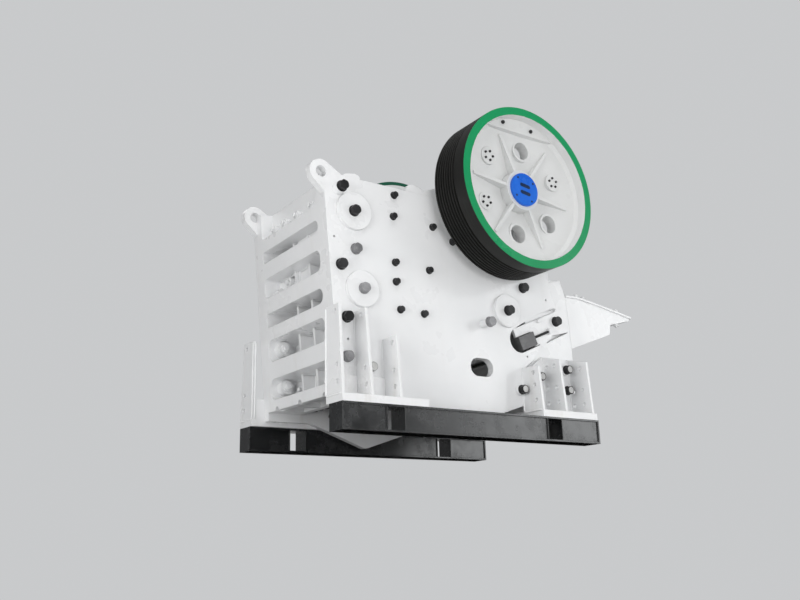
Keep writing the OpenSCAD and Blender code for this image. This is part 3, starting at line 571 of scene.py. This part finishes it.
padHeads, coverHeads, screwHeads = [], [], []
for side in sides:
    axis = (0.0, side, 0.0)
    for pad in np.radians(wheelBolts["pads"]):
        for k in range(wheelBolts["count"]):
            turn = pad + 2.0 * np.pi * k / wheelBolts["count"]
            dx = wheelBolts["ring"] * math.cos(pad) + wheelBolts["circle"] * math.cos(turn)
            dz = wheelBolts["ring"] * math.sin(pad) + wheelBolts["circle"] * math.sin(turn)
            place = atShaft(dx, dz, wheelBolts["face"] - sink, side)
            padHeads.append(hexNut(place, axis, wheelBolts["flats"], wheelBolts["height"] + sink,
                                   0.15, turn))
    for dx, dz in weightBolts["places"]:
        place = atShaft(dx, dz, weightBolts["face"] - sink, side)
        padHeads.append(hexNut(place, axis, weightBolts["flats"], weightBolts["height"]))
    for place in ringPlaces(coverBolts, 0.5, side):
        coverHeads.append(hexNut(place, axis, coverBolts["flats"], coverBolts["height"]))
    for place in ringPlaces(capScrews, 0.4, side):
        screwHeads.append(disc(place, axis, capScrews["radius"], capScrews["height"], 0.001, 16))
makePiece("wheelPadBolts", padHeads, boltBlack, "rotor")
makePiece("bearingCoverBolts", coverHeads, boltBlack, "frame")
makePiece("capScrews", screwHeads, boltBlack, "rotor")

# Two plain bars on each cap: half length and half width, how far they stand from the middle, lean
# in degrees, height and the number of points round each.
capBars = {"face": 1.1023, "half": (0.058, 0.017), "shift": 0.004, "lift": 0.034, "lean": -8.0,
           "sink": 0.0005, "height": 0.003, "around": 32}


def pill(place, axis, half, height, lean, around):
    # A flat bar with round ends: the ring is a circle whose halves are drawn apart along its
    # length, scaled and lifted by level.
    a = np.linspace(0.0, 2.0 * np.pi, around, endpoint=False)
    reach = half[0] - half[1]
    along = np.where(np.cos(a) >= 0.0, reach, -reach) + half[1] * np.cos(a)
    across = half[1] * np.sin(a)
    turn = math.radians(lean)
    dx = along * math.cos(turn) - across * math.sin(turn)
    dz = along * math.sin(turn) + across * math.cos(turn)
    # Each level is a share of the ring and a height.
    levels = [(0.0, 0.0), (1.0, 0.0), (1.0, height * 0.7), (0.94, height), (0.0, height)]
    grid = np.zeros((len(levels), around, 3))
    for i, (scale, h) in enumerate(levels):
        grid[i] = np.array(place) + h * np.array(axis)
        grid[i, :, 0] += dx * scale
        grid[i, :, 2] += dz * scale
    return grid


bars = []
for side in sides:
    for dz in (capBars["lift"], -capBars["lift"]):
        place = atShaft(capBars["shift"], dz, capBars["face"] - capBars["sink"], side)
        bars.append(pill(place, (0.0, side, 0.0), capBars["half"], capBars["height"],
                         capBars["lean"] * -side, capBars["around"]))
makePiece("capPlainBars", bars, capDark, "rotor")
print("small bolts set")

# Welds: a ripple of overlapping drops along the corner of two plates.
weld = {"radius": 0.008, "pitch": 0.009, "ripple": 0.10}


def bead(start, end):
    # A round rod along a straight corner. Its radius swells by |sin(pi s / pitch)| along its
    # length s and falls to nothing at its ends.
    radius = weld["radius"]
    start, end = np.array(start, float), np.array(end, float)
    length = np.linalg.norm(end - start)
    count = max(12, int(length / weld["pitch"]) * 4)
    s = np.linspace(0.0, length, count)
    swell = 1.0 + weld["ripple"] * np.abs(np.sin(np.pi * s / weld["pitch"]))
    taper = np.sqrt(np.clip(np.minimum(s, length - s) / (1.5 * radius), 0.0, 1.0))
    return turned(np.column_stack((radius * swell * taper, s)), start, end - start, 10)


# Gussets of the feet: x of the front face, height above the skid, and where the inner edge lies.
feet = {
    "gussets": [(-0.129, 0.755, 0.6503), (0.130, 0.758, 0.6503), (0.390, 0.558, 0.6503),
                (1.880, 0.447, 0.6503), (2.155, 0.533, 0.6353), (2.480, 0.536, 0.6353)],
    "thick": 0.026, "stripTop": 0.2703, "outer": 0.875, "skid": 0.210,
    "cornerGap": 0.004, "topGap": 0.01,
}
seams = []
for side in sides:
    for x, high, inner in feet["gussets"]:
        for edge in (x + footX, x + footX + feet["thick"]):
            seams.append(bead((edge, side * (inner + feet["cornerGap"]), feet["stripTop"]),
                              (edge, side * feet["outer"], feet["stripTop"])))
            seams.append(bead((edge, side * inner, feet["stripTop"]),
                              (edge, side * inner, feet["skid"] + high - feet["topGap"])))
makePiece("footWelds", seams, plateEnamel, "frame", sharp=60.0)
print("welds laid")

# Cast fillets in the front casting's pockets: a hollow quarter circle along each inner corner.
# Each pocket has its heights and the depth of its near, middle and far bay, 0 where it is shallow.
# The ribs stand back from the leaning front face. The bays' outer ends have no upright fillets.
cast = {
    "fillet": 0.020,
    "bays": ((-0.46, -0.139), (-0.111, 0.111), (0.139, 0.46)),
    "pockets": ((0.414, 0.596, (0.210, 0.210, 0.210)), (0.746, 0.940, (0.210, 0.210, 0.210)),
                (1.055, 1.180, (0.210, 0.210, 0.210)), (1.323, 1.497, (0.210, 0.050, 0.050)),
                (1.644, 1.750, (0.0, 0.0, 0.210))),
    "setBack": 0.110, "ribGap": 0.006, "shortest": 0.04, "outerEnd": 0.4,
    "lean": 0.138, "foot": 0.250, "top": 1.943,
}


def faceAt(z):
    # x of the leaning front face at a height, from its foot.
    return -cast["lean"] * (z - cast["foot"]) / (cast["top"] - cast["foot"])


def fillet(start, end, first, second, radius):
    # Along the corner, each section is the arc C + r (1 - sin t) d1 + r (1 - cos t) d2, which is
    # tucked a little into both walls and closed behind the corner.
    start, end = np.array(start, float), np.array(end, float)
    first, second = np.array(first, float), np.array(second, float)
    t = np.linspace(0.0, np.pi / 2.0, 7)[:, None]
    arc = radius * ((1.0 - np.sin(t)) * first + (1.0 - np.cos(t)) * second)
    tuck = -0.0008
    section = np.vstack((arc + tuck * (first + second), [tuck * (first + second)]))
    middle = np.tile(section.mean(0), (len(section), 1))
    return np.stack([start + middle, start + section, end + section, end + middle])


corners, reach = [], cast["fillet"]
for low, high, depths in cast["pockets"]:
    for bay, depth in zip(cast["bays"], depths):
        if not depth:
            continue
        back = depth + footX
        ends = ((low, 1.0), (high, -1.0))
        for z, way in ends:
            corners.append(fillet((back, bay[0], z), (back, bay[1], z),
                                  (-1, 0, 0), (0, 0, way), reach))
        for wall, side in ((bay[0], 1.0), (bay[1], -1.0)):
            if abs(wall) > cast["outerEnd"]:
                continue
            corners.append(fillet((back, wall, low), (back, wall, high),
                                  (0, side, 0), (-1, 0, 0), reach))
            for z, way in ends:
                front = faceAt(z) + cast["setBack"] + footX + cast["ribGap"]
                if back - front > cast["shortest"]:
                    corners.append(fillet((front, wall, z), (back, wall, z),
                                          (0, side, 0), (0, 0, way), reach))
makePiece("frontCastingFillets", corners, castEnamel, "frame", sharp=50.0)
print("fillets laid")

# Sky: the strength of its light on the object, and of what the camera sees behind the object.
sky = {"light": 0.20, "seen": 0.60, "colour": (0.97, 0.985, 1.0)}

# Floor: pale, clear from below, where the camera stands, and for shadow rays. For the camera it
# fades into the sky between two distances from the middle.
floor = {"half": 40.0, "colour": (0.80, 0.80, 0.80), "clouds": (0.77, 0.77, 0.77), "drop": 0.002,
         "fade": (2.8, 7.0)}


def makeFloor(floor):
    # One square sheet. Its material mixes a diffuse paint with the sky's glow by the distance from
    # the middle, and with a clear one for rays from below.
    mesh = bpy.data.meshes.new("floor")
    h = floor["half"]
    mesh.from_pydata([(-h, -h, 0), (h, -h, 0), (h, h, 0), (-h, h, 0)], [], [(0, 1, 2, 3)])
    mesh.transform(Matrix.Translation((0, 0, -floor["drop"])))
    made = bpy.data.objects.new("floor", mesh)
    scene.collection.objects.link(made)
    paint = Paint("floorPaint")
    cloud = paint.noise(0.6, 3.0)
    colour = paint.mix(cloud, floor["colour"], floor["clouds"])
    solid = paint.node("ShaderNodeBsdfDiffuse", {}, {"Color": colour})
    clear = paint.node("ShaderNodeBsdfTransparent", {}, {})
    below = paint.node("ShaderNodeNewGeometry", {}, {}, "Backfacing")
    shadow = paint.node("ShaderNodeLightPath", {}, {}, "Is Shadow Ray")
    camera = paint.node("ShaderNodeLightPath", {}, {}, "Is Camera Ray")
    sheen = paint.node("ShaderNodeEmission", {}, {
        "Color": (*sky["colour"], 1.0), "Strength": sky["seen"]})
    distance = paint.node("ShaderNodeVectorMath", {"operation": "LENGTH"},
                          {0: paint.place}, "Value")
    solid = paint.node("ShaderNodeMixShader", {}, {
        0: distance.ramp(*floor["fade"]) * camera, 1: solid, 2: sheen})
    both = paint.node("ShaderNodeMixShader", {}, {
        0: below.math("MAXIMUM", shadow), 1: solid, 2: clear})
    end = paint.tree.nodes.new("ShaderNodeOutputMaterial")
    paint.tree.links.new(both.socket, end.inputs["Surface"])
    mesh.materials.append(paint.material)


makeFloor(floor)

# Lamps: place, aimed-at point, side in metres, power in watts, colour.
lamps = {
    "overhead": ((-1.0, -2.0, 8.5), (0.0, 0.0, 1.0), 9.0, 430.0, (1.0, 1.0, 1.0)),
    "windows": ((9.0, -8.5, 2.6), (0.4, 0.0, 1.2), 5.5, 270.0, (0.97, 0.99, 1.0)),
    "side": ((-1.5, -12.0, 0.6), (0.2, 0.0, 1.2), 8.0, 540.0, (1.0, 1.0, 1.0)),
    "front": ((-7.6, -3.2, 0.9), (-0.5, 0.0, 1.1), 4.0, 215.0, (1.0, 1.0, 1.0)),
    "far": ((1.5, 10.0, 4.5), (0.2, 0.0, 1.2), 7.0, 260.0, (1.0, 1.0, 1.0)),
}
for name, (place, aim, side, power, colour) in lamps.items():
    light = bpy.data.lights.new(name, "AREA")
    light.size, light.energy, light.color = side, power, colour
    lamp = bpy.data.objects.new(name, light)
    lamp.location = place
    lamp.rotation_euler = (Vector(aim) - Vector(place)).to_track_quat("-Z", "Y").to_euler()
    scene.collection.objects.link(lamp)

# The world gives the sky's light, and shows the camera its other strength.
world = bpy.data.worlds.new("sky")
world.use_nodes = True
scene.world = world
tree = world.node_tree
ground = tree.nodes["Background"]
ground.inputs["Color"].default_value = (*sky["colour"], 1.0)
path = tree.nodes.new("ShaderNodeLightPath")
seen = tree.nodes.new("ShaderNodeMapRange")
tree.links.new(path.outputs["Is Camera Ray"], seen.inputs["Value"])
seen.inputs["To Min"].default_value, seen.inputs["To Max"].default_value = sky["light"], sky["seen"]
tree.links.new(seen.outputs[0], ground.inputs["Strength"])
print("stage lit")
